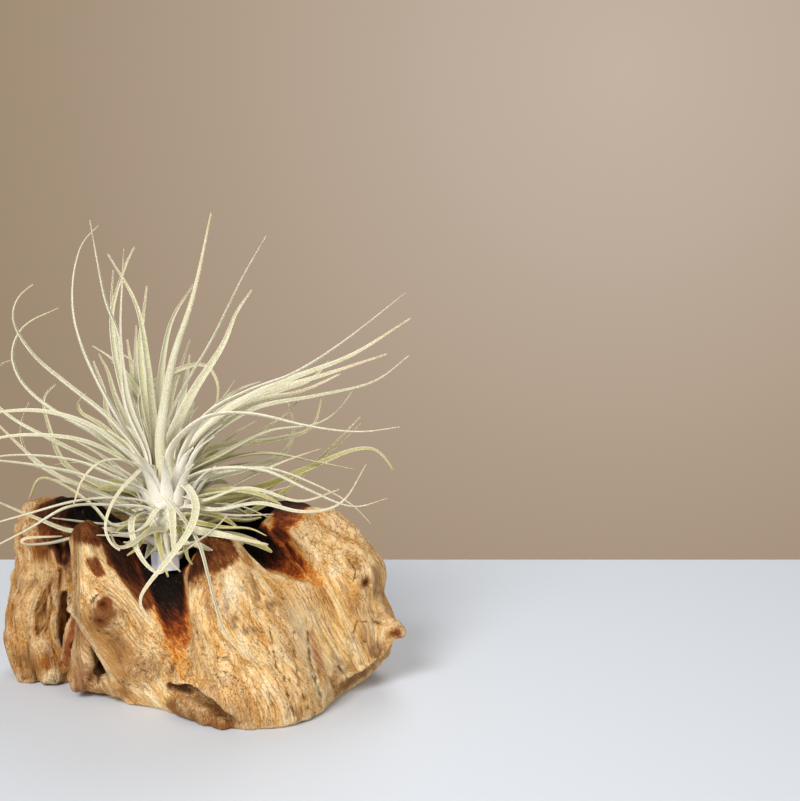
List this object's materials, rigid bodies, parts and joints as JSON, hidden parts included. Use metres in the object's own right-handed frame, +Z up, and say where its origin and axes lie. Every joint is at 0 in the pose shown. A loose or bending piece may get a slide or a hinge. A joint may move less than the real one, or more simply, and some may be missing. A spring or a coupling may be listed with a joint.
{
  "type": "air plant",
  "caption": "Air plant with silvery, tapering, channelled leaves that arch from one short stem, resting in the scorched hollow of a gnarled block of root wood.",
  "frame": {"origin": "on the surface that the wood stands on, under the middle of the wood's width", "axes": "+Z up, +X to the right of the plant's best side, +Y away from that side"},
  "size_m": [0.2491, 0.1833, 0.2667],
  "materials": {
    "driftwood": "bare weathered root wood, honey and cream grain, scorched black in its hollow and along its grooves",
    "leaf": "matt, covered with fine silvery scales, whiter at the base and tan at the tip",
    "tag": "plain coated paper, no wording"
  },
  "bodies": {
    "root": {"driftwood": "driftwood", "rosette": "leaf", "plant_tag": "tag"}
  },
  "joints": []
}
